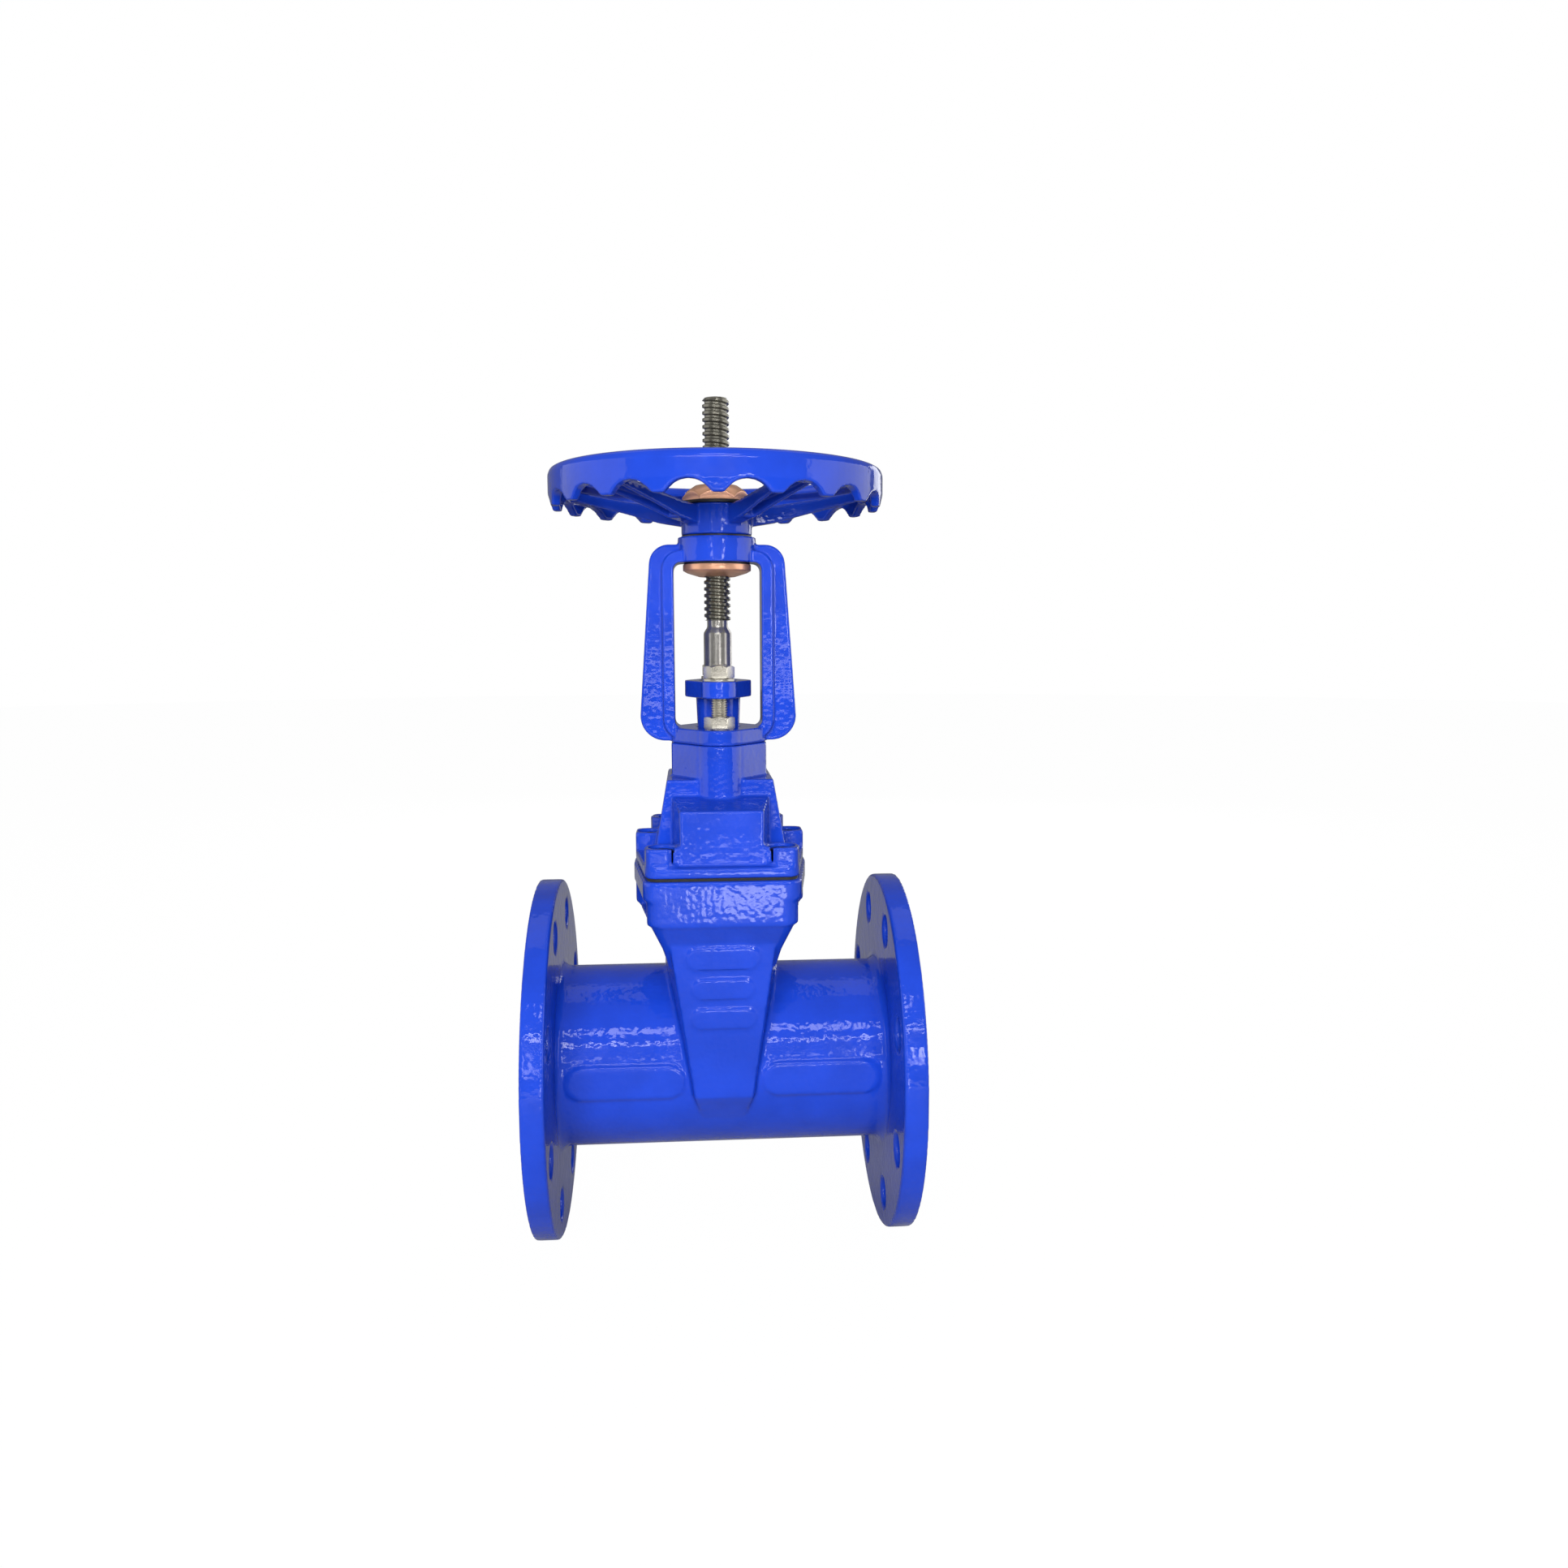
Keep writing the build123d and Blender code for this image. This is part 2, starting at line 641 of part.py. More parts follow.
# ============================================================ yoke
with BuildPart() as yoke:
    # arms and top bridge as one web, before the window is cut
    with BuildSketch(xz_plane(0)) as arms:
        Polygon(
            (arm_low_half_x, arm_foot_z),
            (arm_high_half_x, yoke_top_z),
            (-arm_high_half_x, yoke_top_z),
            (-arm_low_half_x, arm_foot_z),
            align=None,
        )
        fillet(arms.vertices().group_by(Axis.Y)[0], arm_low_corner_r)
        fillet(arms.vertices().group_by(Axis.Y)[-1], arm_high_corner_r)
    extrude(amount=arm_web_half_y, both=True)

    # wider rim around the window
    with BuildSketch(xz_plane(0)):
        with Locations((0, (yoke_base_z + window_top_z) / 2)):
            RectangleRounded(
                2 * (window_half_x + arm_rim_w),
                window_top_z - yoke_base_z + 2 * arm_rim_w,
                window_corner_r + arm_rim_w,
            )
    extrude(amount=arm_rim_half_y, both=True)

    # foot plate, with the same plan as the bonnet neck, and the top hub
    add(neck_outline(neck_top_z, yoke_base_inset))
    extrude(amount=yoke_base_z - neck_top_z)
    with BuildSketch(Plane.XY.offset(window_top_z)):
        Circle(yoke_hub_r)
    extrude(amount=yoke_hub_top_z - window_top_z)

    # window, hub bore, gland opening and stud holes
    with BuildSketch(xz_plane(0)):
        with Locations((0, (yoke_base_z + window_top_z) / 2)):
            RectangleRounded(2 * window_half_x, window_top_z - yoke_base_z, window_corner_r)
    extrude(amount=flange_od, both=True, mode=Mode.SUBTRACT)
    with BuildSketch(Plane.XY.offset(window_top_z)):
        Circle(nut_sleeve_r + clearance)
    extrude(amount=yoke_hub_top_z - window_top_z, mode=Mode.SUBTRACT)
    with BuildSketch(Plane.XY.offset(neck_top_z)):
        Circle(stuffing_r + loose)
        with Locations((0, -stud_y), (0, stud_y)):
            Circle(stud_d / 2 + bolt_play)
    extrude(amount=yoke_base_z - neck_top_z, mode=Mode.SUBTRACT)

    # nothing of the rim hangs below the foot plate
    with BuildSketch(Plane.XY.offset(neck_top_z)):
        Rectangle(2 * flange_od, 2 * flange_od)
    extrude(amount=-2 * arm_rim_w, mode=Mode.SUBTRACT)

yoke.part.label = "yoke"
export_step(yoke.part, "parts/yoke.step")


# ============================================================ gland
def round_stack(levels):
    """Solid of revolution about the stem axis, from (radius, z) corner points."""
    with BuildPart() as stack:
        with BuildSketch(Plane.XZ):
            with BuildLine():
                Polyline(*levels, close=True)
            make_face()
        revolve(axis=Axis.Z)
    return stack.part


with BuildPart() as gland_flange:
    with BuildSketch(Plane.XY.offset(gland_flange_low_z)):
        Circle(gland_r)
        with Locations((0, -stud_y), (0, stud_y)):
            Circle(gland_ear_r)
        for end in (-1, 1):
            Polygon(
                (-gland_cheek_x, end * gland_cheek_y),
                (gland_cheek_x, end * gland_cheek_y),
                (gland_ear_cheek_x, end * gland_ear_cheek_y),
                (-gland_ear_cheek_x, end * gland_ear_cheek_y),
                align=None,
            )
    extrude(amount=gland_flange_top_z - gland_flange_low_z)
    add(
        round_stack(
            [
                (stem_d / 2 + loose, packing_top_z),
                (stuffing_r - gland_sleeve_play, packing_top_z),
                (stuffing_r - gland_sleeve_play, gland_collar_z),
                (gland_collar_r, gland_flange_low_z + gland_root),
                (stem_d / 2 + loose, gland_flange_low_z + gland_root),
            ]
        )
    )
    with BuildSketch(Plane.XY.offset(packing_top_z)):
        Circle(stem_d / 2 + loose)
    extrude(amount=gland_flange_top_z - packing_top_z, mode=Mode.SUBTRACT)
    with BuildSketch(Plane.XY.offset(gland_flange_top_z)):
        Circle(wiper_r)
    extrude(amount=-wiper_h, mode=Mode.SUBTRACT)
    with BuildSketch(Plane.XY.offset(gland_flange_top_z)):
        with Locations((0, -stud_y), (0, stud_y)):
            Circle(stud_d / 2 + bolt_play)
    extrude(amount=gland_flange_low_z - gland_flange_top_z, mode=Mode.SUBTRACT)

gland_flange.part.label = "gland_flange"
export_step(gland_flange.part, "parts/gland_flange.step")


# ---------------------------------------------------------- gland fasteners
with BuildPart() as gland_studs:
    with BuildSketch(Plane.XY.offset(stud_root_z)):
        with Locations((0, -stud_y), (0, stud_y)):
            Circle(stud_d / 2)
    extrude(amount=stud_top_z - stud_root_z)
    chamfer(gland_studs.faces().filter_by(Axis.Z).edges(), stud_edge)

gland_studs.part.label = "gland_studs"
export_step(gland_studs.part, "parts/gland_studs.step")


def hex_nut_pair(z):
    """Two chamfered hexagon nuts on the gland studs, standing at height z."""
    with BuildPart() as nuts:
        with BuildSketch(Plane.XY.offset(z)):
            with Locations((0, -stud_y), (0, stud_y)):
                RegularPolygon(hex_af / 2, 6, major_radius=False)
        extrude(amount=hex_h)
        with BuildSketch(Plane.XZ):
            with BuildLine():
                Polyline(
                    (0, z),
                    (hex_af / 2, z),
                    (hex_af / 2 + hex_edge[0], z + hex_edge[1]),
                    (hex_af / 2 + hex_edge[0], z + hex_h - hex_edge[1]),
                    (hex_af / 2, z + hex_h),
                    (0, z + hex_h),
                    close=True,
                )
            make_face()
        turned = revolve(axis=Axis.Z, mode=Mode.PRIVATE)
        add([turned.moved(Location((0, y, 0))) for y in (-stud_y, stud_y)], mode=Mode.INTERSECT)
        with BuildSketch(Plane.XY.offset(z)):
            with Locations((0, -stud_y), (0, stud_y)):
                Circle(stud_d / 2)
        extrude(amount=hex_h, mode=Mode.SUBTRACT)
    return nuts.part


with BuildPart() as yoke_nuts:
    add(hex_nut_pair(yoke_base_z))

yoke_nuts.part.label = "yoke_nuts"
export_step(yoke_nuts.part, "parts/yoke_nuts.step")

with BuildPart() as gland_nuts:
    add(hex_nut_pair(gland_flange_top_z + gland_washer_t))

gland_nuts.part.label = "gland_nuts"
export_step(gland_nuts.part, "parts/gland_nuts.step")

with BuildPart() as gland_washers:
    with BuildSketch(Plane.XY.offset(gland_flange_top_z)):
        with Locations((0, -stud_y), (0, stud_y)):
            Circle(gland_washer_r)
            Circle(stud_d / 2 + loose, mode=Mode.SUBTRACT)
    extrude(amount=gland_washer_t)

gland_washers.part.label = "gland_washers"
export_step(gland_washers.part, "parts/gland_washers.step")


# ---------------------------------------------------------- stem seals
seal_inner_r = stem_d / 2 + clearance
with BuildPart() as packing_seat:
    with BuildSketch(Plane.XY.offset(stuffing_floor_z)):
        Circle(stuffing_r)
        Circle(seal_inner_r, mode=Mode.SUBTRACT)
    extrude(amount=packing_seat_h)

packing_seat.part.label = "packing_seat"
export_step(packing_seat.part, "parts/packing_seat.step")

with BuildPart() as packing_rings:
    for ring in range(packing_rings_n):
        with BuildSketch(Plane.XY.offset(stuffing_floor_z + packing_seat_h + ring * packing_ring_h)):
            Circle(stuffing_r)
            Circle(seal_inner_r, mode=Mode.SUBTRACT)
        extrude(amount=packing_ring_h - packing_ring_gap)

packing_rings.part.label = "packing_rings"
export_step(packing_rings.part, "parts/packing_rings.step")

with BuildPart() as stem_wiper:
    with BuildSketch(Plane.XY.offset(gland_flange_top_z - wiper_h)):
        Circle(wiper_r)
        Circle(seal_inner_r, mode=Mode.SUBTRACT)
    extrude(amount=wiper_h)

stem_wiper.part.label = "stem_wiper"
export_step(stem_wiper.part, "parts/stem_wiper.step")


# ============================================================ stem nut and washers
with BuildPart() as stem_nut:
    add(
        round_stack(
            [
                (thread_d / 2 + nut_bore_play, nut_relief_top_z),
                (stem_d / 2 + loose, nut_relief_top_z),
                (stem_d / 2 + loose, nut_flange_low_z),
                (nut_lip_r, nut_flange_low_z),
                (nut_flange_bevel_r, nut_flange_low_z + nut_flange_bevel_h),
                (nut_flange_r, nut_flange_low_z + nut_flange_edge_h),
                (nut_flange_r, nut_flange_top_z),
                (nut_sleeve_r, nut_flange_top_z),
                (nut_sleeve_r, wheel_hub_z - washer_play),
                (wheel_seat_r, wheel_hub_z - washer_play),
                (wheel_seat_r, wheel_nut_z),
                (nut_thread_r, wheel_nut_z),
                (nut_thread_r, wheel_nut_z + wheel_nut_h - nut_end_below),
                (thread_d / 2 + nut_bore_play, wheel_nut_z + wheel_nut_h - nut_end_below),
            ]
        )
    )
    with BuildSketch(Plane.XY.offset(key_z)):
        with Locations((0, wheel_seat_r)):
            Rectangle(key_w, key_w)
    extrude(amount=key_h, mode=Mode.SUBTRACT)

stem_nut.part.label = "stem_nut"
export_step(stem_nut.part, "parts/stem_nut.step")

with BuildPart() as wheel_key:
    with BuildSketch(Plane.XY.offset(key_z)):
        with Locations((0, wheel_seat_r)):
            Rectangle(key_w, key_w)
    extrude(amount=key_h)

wheel_key.part.label = "wheel_key"
export_step(wheel_key.part, "parts/wheel_key.step")

with BuildPart() as lower_thrust_washer:
    with BuildSketch(Plane.XY.offset(nut_flange_top_z)):
        Circle(lower_washer_r)
        Circle(nut_sleeve_r, mode=Mode.SUBTRACT)
    extrude(amount=thrust_washer_t - washer_play)

lower_thrust_washer.part.label = "lower_thrust_washer"
export_step(lower_thrust_washer.part, "parts/lower_thrust_washer.step")

with BuildPart() as upper_thrust_washer:
    with BuildSketch(Plane.XY.offset(yoke_hub_top_z)):
        Circle(wheel_hub_r)
        Circle(nut_sleeve_r + loose, mode=Mode.SUBTRACT)
    extrude(amount=thrust_washer_t - washer_play)

upper_thrust_washer.part.label = "upper_thrust_washer"
export_step(upper_thrust_washer.part, "parts/upper_thrust_washer.step")

with BuildPart() as wheel_washer:
    with BuildSketch(Plane.XY.offset(wheel_hub_top_z)):
        Circle(wheel_washer_r)
        Circle(wheel_seat_r, mode=Mode.SUBTRACT)
    extrude(amount=wheel_washer_t)

wheel_washer.part.label = "wheel_washer"
export_step(wheel_washer.part, "parts/wheel_washer.step")

with BuildPart() as wheel_nut:
    with BuildSketch(Plane.XY.offset(wheel_nut_z)):
        RegularPolygon(wheel_nut_af / 2, 6, major_radius=False)
    extrude(amount=wheel_nut_h)
    add(
        round_stack(
            [
                (0, wheel_nut_z),
                (wheel_nut_corner_r, wheel_nut_z),
                (wheel_nut_corner_r, wheel_nut_z + nut_dome_foot),
                (nut_dome_r, wheel_nut_z + nut_dome_h),
                (nut_crown_r, wheel_nut_z + wheel_nut_h),
                (0, wheel_nut_z + wheel_nut_h),
            ]
        ),
        mode=Mode.INTERSECT,
    )
    with BuildSketch(Plane.XY.offset(wheel_nut_z)):
        Circle(nut_thread_r)
    extrude(amount=wheel_nut_h, mode=Mode.SUBTRACT)

wheel_nut.part.label = "wheel_nut"
export_step(wheel_nut.part, "parts/wheel_nut.step")


# ============================================================ handwheel
def spoke_bar(side_points, hub_half_w, rim_half_w):
    """Bar along +X that widens outwards, from the corner points of its side view."""
    with BuildPart() as bar:
        with BuildSketch(xz_plane(0)):
            Polygon(*side_points, align=None)
        extrude(amount=spoke_rim_half_w, both=True)
        with BuildSketch(Plane.XY.offset(wheel_hub_z)):
            Polygon(
                (spoke_root_r, -hub_half_w),
                (spoke_end_r, -rim_half_w),
                (spoke_end_r, rim_half_w),
                (spoke_root_r, hub_half_w),
                align=None,
            )
        extrude(amount=wheel_rim_top_z - wheel_hub_z, mode=Mode.INTERSECT)
    return bar.part


with BuildPart() as handwheel:
    # rim: a wall with an inward lip at the top
    add(
        round_stack(
            [
                (outer_r - wheel_rim_wall, wheel_rim_low_z),
                (outer_r - rim_taper, wheel_rim_low_z),
                (outer_r, wheel_rim_low_z + rim_taper_h),
                *[(outer_r - inward, wheel_rim_top_z - down) for inward, down in reversed(rim_shoulder)],
                (outer_r - wheel_lip_w + rim_edge, wheel_rim_top_z),
                (outer_r - wheel_lip_w, wheel_rim_top_z - rim_edge),
                (outer_r - wheel_lip_w, wheel_rim_top_z - wheel_lip_t),
                (outer_r - wheel_rim_wall, wheel_rim_top_z - wheel_lip_t - rim_edge),
            ]
        )
    )
    # finger grips: a bell-shaped notch between every two lobes of the lower edge
    for lobe in range(wheel_lobes):
        turn = radians(lobe_turn + (lobe + 0.5) * 360 / wheel_lobes)
        outward = Vector(cos(turn), sin(turn), 0)
        upright = Plane(
            origin=(0, 0, wheel_rim_low_z),
            x_dir=(-sin(turn), cos(turn), 0),
            z_dir=outward,
        )
        with BuildSketch(upright.offset(outer_r - 2 * wheel_rim_wall)):
            with BuildLine():
                Spline(*notch_points)
                Line(notch_points[-1], notch_points[0])
            make_face()
        extrude(amount=2 * wheel_rim_wall + rim_edge, mode=Mode.SUBTRACT)

    # hub and sloping spokes, each with a channel underneath
    with BuildSketch(Plane.XY.offset(wheel_hub_z)):
        Circle(wheel_hub_r)
    extrude(amount=wheel_hub_h)
    bar = spoke_bar(spoke_points, spoke_hub_half_w, spoke_rim_half_w)
    channel = spoke_bar(
        channel_points,
        spoke_hub_half_w - spoke_wall,
        spoke_rim_half_w - spoke_wall,
    )
    for spoke in range(wheel_spokes):
        turn = spoke_turn + spoke * 360 / wheel_spokes
        add(bar.rotate(Axis.Z, turn))
        add(channel.rotate(Axis.Z, turn), mode=Mode.SUBTRACT)

    # bore and keyway
    with BuildSketch(Plane.XY.offset(wheel_hub_z)):
        Circle(wheel_seat_r)
        with Locations((0, wheel_seat_r)):
            Rectangle(key_w, key_w)
    extrude(amount=wheel_hub_h, mode=Mode.SUBTRACT)

handwheel.part.label = "handwheel"
export_step(handwheel.part, "parts/handwheel.step")


# ============================================================ stem
def threaded_edge(z_low, z_high):
    """Corner points up the outside of the thread: a trapezoid groove each pitch."""
    points = []
    grooves = int((z_high - z_low) / thread_pitch)
    outer = thread_d / 2
    inner = outer - thread_depth
    for n in range(grooves):
        z = z_low + n * thread_pitch
        points += [
            (outer, z),
            (outer, z + thread_crest * thread_pitch),
            (inner, z + thread_root_from * thread_pitch),
            (inner, z + thread_root_to * thread_pitch),
        ]
    top = z_low + grooves * thread_pitch
    points += [(outer, top), (outer, z_high - stem_edge), (outer - stem_edge, z_high), (0, z_high)]
    return points


with BuildPart() as stem:
    add(
        round_stack(
            [
                (0, nut_head_z),
                (shank_d / 2, nut_head_z),
                (shank_d / 2, gate_nut_top_z),
                (stem_d / 2, gate_nut_top_z),
                (stem_d / 2, shoulder_z),
                (relief_d / 2, relief_z),
                (relief_d / 2, thread_start_z - relief_end),
            ]
            + threaded_edge(thread_start_z, stem_top_z)
        )
    )
    with BuildSketch(yz_plane(-stem_d)):
        with Locations((0, pin_z)):
            Circle(pin_d / 2)
    extrude(amount=2 * stem_d, mode=Mode.SUBTRACT)

stem.part.label = "stem"
export_step(stem.part, "parts/stem.step")


# ============================================================ gate
def tee_section(play):
    """Upright tee across the stem: the gate nut and, with play, its slot."""
    with BuildSketch(yz_plane(0)) as tee:
        with Locations((0, nut_head_z - play)):
            Rectangle(
                2 * (nut_head_half_y + play),
                nut_head_h + 2 * play,
                align=(Align.CENTER, Align.MIN),
            )
        with Locations((0, nut_head_z)):
            Rectangle(
                2 * (nut_neck_half_y + play),
                gate_nut_top_z - nut_head_z,
                align=(Align.CENTER, Align.MIN),
            )
    return tee.sketch


with BuildPart() as gate_nut:
    extrude(tee_section(0), amount=gate_nut_half_x, both=True)
    with BuildSketch(Plane.XY.offset(nut_head_z)):
        Circle(shank_d / 2)
    extrude(amount=gate_nut_top_z - nut_head_z, mode=Mode.SUBTRACT)
    with BuildSketch(yz_plane(-stem_d)):
        with Locations((0, pin_z)):
            Circle(pin_d / 2)
    extrude(amount=2 * stem_d, mode=Mode.SUBTRACT)

gate_nut.part.label = "gate_nut"
export_step(gate_nut.part, "parts/gate_nut.step")

with BuildPart() as gate_nut_pin:
    with BuildSketch(yz_plane(-gate_nut_half_x)):
        with Locations((0, pin_z)):
            Circle(pin_d / 2)
    extrude(amount=2 * gate_nut_half_x)

gate_nut_pin.part.label = "gate_nut_pin"
export_step(gate_nut_pin.part, "parts/gate_nut_pin.step")


def wedge(skin):
    """The gate without its guides, smaller by skin all round."""
    with BuildPart() as block:
        with BuildSketch(yz_plane(0)):
            with Locations((0, gate_z)):
                Circle(gate_r - skin)
                Polygon(
                    (-gate_r + skin, 0),
                    (gate_r - skin, 0),
                    (gate_r - skin, gate_shoulder - skin / 2),
                    (gate_crown_half_y - skin / 2, gate_top - skin),
                    (skin / 2 - gate_crown_half_y, gate_top - skin),
                    (skin - gate_r, gate_shoulder - skin / 2),
                    align=None,
                )
        extrude(amount=neck_half_x, both=True)
        with BuildSketch(xz_plane(0)):
            low = wedge_low_half_x - skin
            high = half_thickness(gate_top) - skin
            with BuildLine():
                Polyline(
                    (-low, gate_z - gate_r),
                    (low, gate_z - gate_r),
                    (high, gate_z + gate_top),
                    (-high, gate_z + gate_top),
                    close=True,
                )
            make_face()
        extrude(amount=gate_r, both=True, mode=Mode.INTERSECT)
    return block.part


def guide_block(half_x, inner_y, outer_y, low, high):
    """A pair of guide blocks, one at each side of the gate."""
    with BuildPart() as blocks:
        with BuildSketch(Plane.XY.offset(gate_z + low)):
            for end in (-1, 1):
                with Locations((0, end * (inner_y + outer_y) / 2)):
                    Rectangle(2 * half_x, outer_y - inner_y)
        extrude(amount=high - low)
    return blocks.part


with BuildPart() as gate_core:
    add(wedge(rubber_t))
    add(
        guide_block(
            guide_half_x - guide_rib_inset,
            gate_r - guide_root,
            guide_y - guide_rib_end,
            guide_low + guide_rib_inset,
            guide_high - guide_rib_inset,
        )
    )
    extrude(tee_section(loose), amount=neck_half_x, both=True, mode=Mode.SUBTRACT)

gate_core.part.label = "gate_core"
export_step(gate_core.part, "parts/gate_core.step")

with BuildPart() as gate_rubber:
    add(wedge(0))
    add(wedge(rubber_t), mode=Mode.SUBTRACT)
    add(
        guide_block(guide_half_x, gate_r - guide_root, guide_y, guide_low, guide_high),
        mode=Mode.SUBTRACT,
    )
    extrude(tee_section(loose), amount=neck_half_x, both=True, mode=Mode.SUBTRACT)

gate_rubber.part.label = "gate_rubber"
export_step(gate_rubber.part, "parts/gate_rubber.step")

with BuildPart() as gate_guides:
    add(guide_block(guide_half_x, gate_r - guide_root, guide_y, guide_low, guide_high))
    add(wedge(rubber_t), mode=Mode.SUBTRACT)
    add(
        guide_block(
            guide_half_x - guide_rib_inset,
            gate_r - guide_root - chamber_over,
            guide_y - guide_rib_end,
            guide_low + guide_rib_inset,
            guide_high - guide_rib_inset,
        ),
        mode=Mode.SUBTRACT,
    )

gate_guides.part.label = "gate_guides"
export_step(gate_guides.part, "parts/gate_guides.step")
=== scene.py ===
"""Studio scene of the rising-stem gate valve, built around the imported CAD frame."""

import json
from math import cos, pi, radians, sin

import bmesh
import bpy
from mathutils import Matrix, Vector
from mathutils.bvhtree import BVHTree


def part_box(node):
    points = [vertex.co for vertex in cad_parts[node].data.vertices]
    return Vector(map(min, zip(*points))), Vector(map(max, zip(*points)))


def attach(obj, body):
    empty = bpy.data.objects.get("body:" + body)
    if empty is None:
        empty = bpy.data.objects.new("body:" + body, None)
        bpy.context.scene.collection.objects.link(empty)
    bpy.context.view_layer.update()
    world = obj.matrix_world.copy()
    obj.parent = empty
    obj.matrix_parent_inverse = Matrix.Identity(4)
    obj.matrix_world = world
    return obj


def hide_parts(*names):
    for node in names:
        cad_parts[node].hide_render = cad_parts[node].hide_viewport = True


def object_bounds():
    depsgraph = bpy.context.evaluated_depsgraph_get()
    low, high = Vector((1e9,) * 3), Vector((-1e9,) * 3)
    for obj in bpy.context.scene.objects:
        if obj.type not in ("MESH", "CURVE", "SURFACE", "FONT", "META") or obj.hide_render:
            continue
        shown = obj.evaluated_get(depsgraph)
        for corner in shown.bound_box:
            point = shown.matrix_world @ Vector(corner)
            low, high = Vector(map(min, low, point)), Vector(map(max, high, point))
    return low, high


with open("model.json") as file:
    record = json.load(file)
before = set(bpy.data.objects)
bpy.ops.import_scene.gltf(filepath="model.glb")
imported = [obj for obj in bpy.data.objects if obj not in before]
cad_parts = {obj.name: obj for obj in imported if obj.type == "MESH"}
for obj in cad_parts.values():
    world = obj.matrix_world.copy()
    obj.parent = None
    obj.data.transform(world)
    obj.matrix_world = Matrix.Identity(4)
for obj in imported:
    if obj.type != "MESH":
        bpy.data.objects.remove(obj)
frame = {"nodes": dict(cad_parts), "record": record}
cad_low, cad_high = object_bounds()
nodes = frame["nodes"]
scene = bpy.context.scene


def top(node):
    """Height of the top of a CAD node."""
    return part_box(node)[1][2]


def foot(node):
    """Height of the lowest point of a CAD node."""
    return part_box(node)[0][2]


# ---------------------------------------------------------------- materials
def shader(name):
    """A new node material: its tree, its Principled node and a coordinate output."""
    material = bpy.data.materials.new(name)
    material.use_nodes = True
    tree = material.node_tree
    principled = tree.nodes["Principled BSDF"]
    coords = tree.nodes.new("ShaderNodeTexCoord").outputs["Object"]
    return material, tree, principled, coords


def noise(tree, coords, scale, detail=2.0, rough=0.5, stretch=None):
    """Noise of a given scale in metres to the minus one, as a 0 to 1 output."""
    if stretch:
        mapping = tree.nodes.new("ShaderNodeMapping")
        mapping.inputs["Scale"].default_value = stretch
        tree.links.new(coords, mapping.inputs["Vector"])
        coords = mapping.outputs["Vector"]
    node = tree.nodes.new("ShaderNodeTexNoise")
    node.inputs["Scale"].default_value = scale
    node.inputs["Detail"].default_value = detail
    node.inputs["Roughness"].default_value = rough
    tree.links.new(coords, node.inputs["Vector"])
    return node.outputs["Fac"]


def ramp(tree, value, stops):
    """Colour ramp over a value, from (place, colour) stops."""
    node = tree.nodes.new("ShaderNodeValToRGB")
    elements = node.color_ramp.elements
    while len(elements) < len(stops):
        elements.new(0.5)
    for element, (place, colour) in zip(elements, stops):
        element.position = place
        element.color = (*colour, 1.0)
    tree.links.new(value, node.inputs["Fac"])
    return node.outputs["Color"]


def remap(tree, value, low, high, from_low=0.3, from_high=0.7):
    """Value stretched to run from low to high."""
    node = tree.nodes.new("ShaderNodeMapRange")
    node.inputs["From Min"].default_value = from_low
    node.inputs["From Max"].default_value = from_high
    node.inputs["To Min"].default_value = low
    node.inputs["To Max"].default_value = high
    tree.links.new(value, node.inputs["Value"])
    return node.outputs["Result"]


def bump(tree, layers):
    """Bump from (height output, depth in metres) layers, one on the other."""
    normal = None
    for height, depth in layers:
        node = tree.nodes.new("ShaderNodeBump")
        node.inputs["Distance"].default_value = depth
        node.inputs["Strength"].default_value = 1.0
        tree.links.new(height, node.inputs["Height"])
        if normal is not None:
            tree.links.new(normal, node.inputs["Normal"])
        normal = node.outputs["Normal"]
    return normal


def paint(name, colour, pebble):
    """Glossy epoxy coat with orange peel; pebble is the depth of the cast grain."""
    material, tree, principled, coords = shader(name)
    tint = noise(tree, coords, 38.0, 3.0)
    darker = tuple(0.86 * c for c in colour)
    tree.links.new(ramp(tree, tint, [(0.35, darker), (0.65, colour)]), principled.inputs["Base Color"])
    gloss = noise(tree, coords, 160.0, 2.0)
    tree.links.new(remap(tree, gloss, 0.05, 0.12), principled.inputs["Roughness"])
    principled.inputs["IOR"].default_value = 1.5
    waves = noise(tree, coords, 95.0, 1.0)
    peel = noise(tree, coords, 620.0, 1.0)
    grain = noise(tree, coords, 360.0, 0.0)
    layers = [(waves, 0.00022 * pebble), (peel, 0.00003), (grain, 0.00012 * pebble)]
    tree.links.new(bump(tree, layers), principled.inputs["Normal"])
    return material


def turned_metal(name, colour, rough, lines, metallic=1.0):
    """Machined metal: fine turning lines round the vertical axis and uneven colour."""
    material, tree, principled, coords = shader(name)
    stain = noise(tree, coords, 70.0, 2.0)
    darker = tuple(0.72 * c for c in colour)
    tree.links.new(ramp(tree, stain, [(0.3, darker), (0.62, colour)]), principled.inputs["Base Color"])
    marks = noise(tree, coords, 1.0, 2.0, 0.6, (120.0, 120.0, lines))
    tree.links.new(remap(tree, marks, rough - 0.02, rough + 0.04), principled.inputs["Roughness"])
    principled.inputs["Metallic"].default_value = metallic
    tree.links.new(bump(tree, [(marks, 0.00001)]), principled.inputs["Normal"])
    return material


